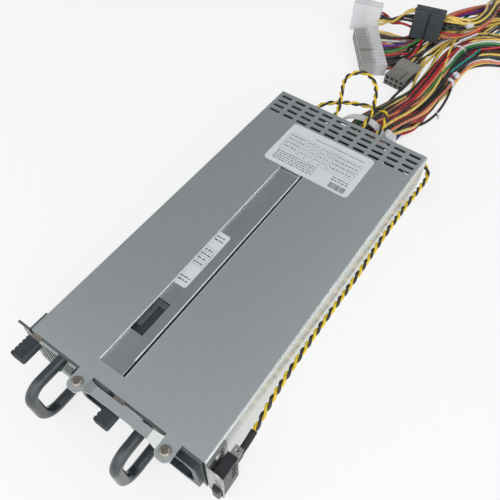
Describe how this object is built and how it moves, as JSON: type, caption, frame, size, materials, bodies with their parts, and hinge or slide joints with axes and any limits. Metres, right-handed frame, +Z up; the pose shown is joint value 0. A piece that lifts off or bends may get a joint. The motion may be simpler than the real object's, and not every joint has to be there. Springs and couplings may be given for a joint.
{
  "type": "hot swap server power supply",
  "caption": "Sheet steel cage with twin slide-in supply modules, handles, thumb latches, mains inlets, reset switch and a loose cable harness with plugs.",
  "frame": {"origin": "middle of the cage's underside, at the front edge of the cover", "axes": "+Z up from the floor, +Y from the front towards the rear panel, +X to the right seen from the front"},
  "size_m": [0.2032, 0.5352, 0.0451],
  "materials": {
    "zinc_sheet": "satin galvanised sheet",
    "bright_steel": "plain steel",
    "black_plastic": "moulded",
    "board_green": "solder mask",
    "socket_white": "moulded",
    "can_dark": "sleeved",
    "nylon_milky": "translucent moulded",
    "wire_mixed": "insulation",
    "wire_pair": "insulation",
    "plug_grey": "translucent moulded",
    "module_sheet": "satin galvanised sheet",
    "black_gloss": "gloss powder coat",
    "sink_aluminium": "extruded",
    "lamp_green": "clear tinted",
    "brass_steel": "passivated"
  },
  "bodies": {
    "cage": {"cage_shell": "zinc_sheet", "cage_floor": "zinc_sheet", "cage_divider": "zinc_sheet", "tab_screws": "bright_steel", "cage_rivets": "bright_steel", "left_ear": "bright_steel", "right_ear": "bright_steel", "switch_body": "black_plastic", "switch_terminals": "bright_steel", "rear_board": "board_green", "rear_sockets": "socket_white", "rear_capacitors": "can_dark", "rear_screws": "bright_steel", "wire_header": "black_plastic", "harness_strap": "nylon_milky", "main_cable": "wire_mixed", "aux_cable": "wire_mixed", "drive_cable": "wire_mixed", "drive_cable_tail": "wire_mixed", "side_pair": "wire_pair", "signal_pair_low": "wire_pair", "signal_pair_high": "wire_pair", "harness_ties": "nylon_milky", "main_plug": "plug_grey", "aux_plug": "plug_grey", "drive_plug": "nylon_milky", "flat_plug": "black_plastic"},
    "button": {"switch_button": "black_plastic"},
    "left_module": {"module_left_tray": "module_sheet", "module_left_lid": "module_sheet", "module_left_face": "module_sheet", "module_left_handle": "black_gloss", "module_left_handle_screws": "bright_steel", "module_left_inlet": "black_plastic", "module_left_inlet_pins": "bright_steel", "module_left_latch_pivot": "bright_steel", "module_left_fan_frame": "black_plastic", "module_left_board": "board_green", "module_left_heatsinks": "sink_aluminium", "module_left_board_parts": "can_dark", "module_left_status_lamp": "lamp_green"},
    "left_latch": {"module_left_latch_lever": "brass_steel", "module_left_latch_cap": "black_plastic"},
    "left_rotor": {"module_left_fan_rotor": "black_plastic"},
    "right_module": {"module_right_tray": "module_sheet", "module_right_lid": "module_sheet", "module_right_face": "module_sheet", "module_right_handle": "black_gloss", "module_right_handle_screws": "bright_steel", "module_right_inlet": "black_plastic", "module_right_inlet_pins": "bright_steel", "module_right_latch_pivot": "bright_steel", "module_right_fan_frame": "black_plastic", "module_right_board": "board_green", "module_right_heatsinks": "sink_aluminium", "module_right_board_parts": "can_dark", "module_right_status_lamp": "lamp_green"},
    "right_latch": {"module_right_latch_lever": "brass_steel", "module_right_latch_cap": "black_plastic"},
    "right_rotor": {"module_right_fan_rotor": "black_plastic"}
  },
  "joints": [
    {"name": "left_module_slide", "type": "slide", "parent": "cage", "child": "left_module", "axis": [0, -1, 0], "range_m": [0, 0.205]},
    {"name": "left_latch_turn", "type": "hinge", "parent": "left_module", "child": "left_latch", "pos_m": [-0.0478, 0.022, 0.0405], "axis": [0, 0, 1], "range_deg": [0, 8], "stiffness_Nm_per_rad": 0.02, "springref_deg": -5.73},
    {"name": "left_fan_spin", "type": "hinge", "parent": "left_module", "child": "left_rotor", "pos_m": [-0.0266, 0.064, 0.01985], "axis": [0, 1, 0], "continuous": true},
    {"name": "right_module_slide", "type": "slide", "parent": "cage", "child": "right_module", "axis": [0, -1, 0], "range_m": [0, 0.205]},
    {"name": "right_latch_turn", "type": "hinge", "parent": "right_module", "child": "right_latch", "pos_m": [0.0052, 0.022, 0.0405], "axis": [0, 0, 1], "range_deg": [0, 8], "stiffness_Nm_per_rad": 0.02, "springref_deg": -5.73},
    {"name": "right_fan_spin", "type": "hinge", "parent": "right_module", "child": "right_rotor", "pos_m": [0.0264, 0.064, 0.01985], "axis": [0, 1, 0], "continuous": true},
    {"name": "button_press", "type": "slide", "parent": "cage", "child": "button", "axis": [0, 1, 0], "range_m": [0, 0.0015], "stiffness_N_per_m": 400, "springref_m": -0.001}
  ]
}
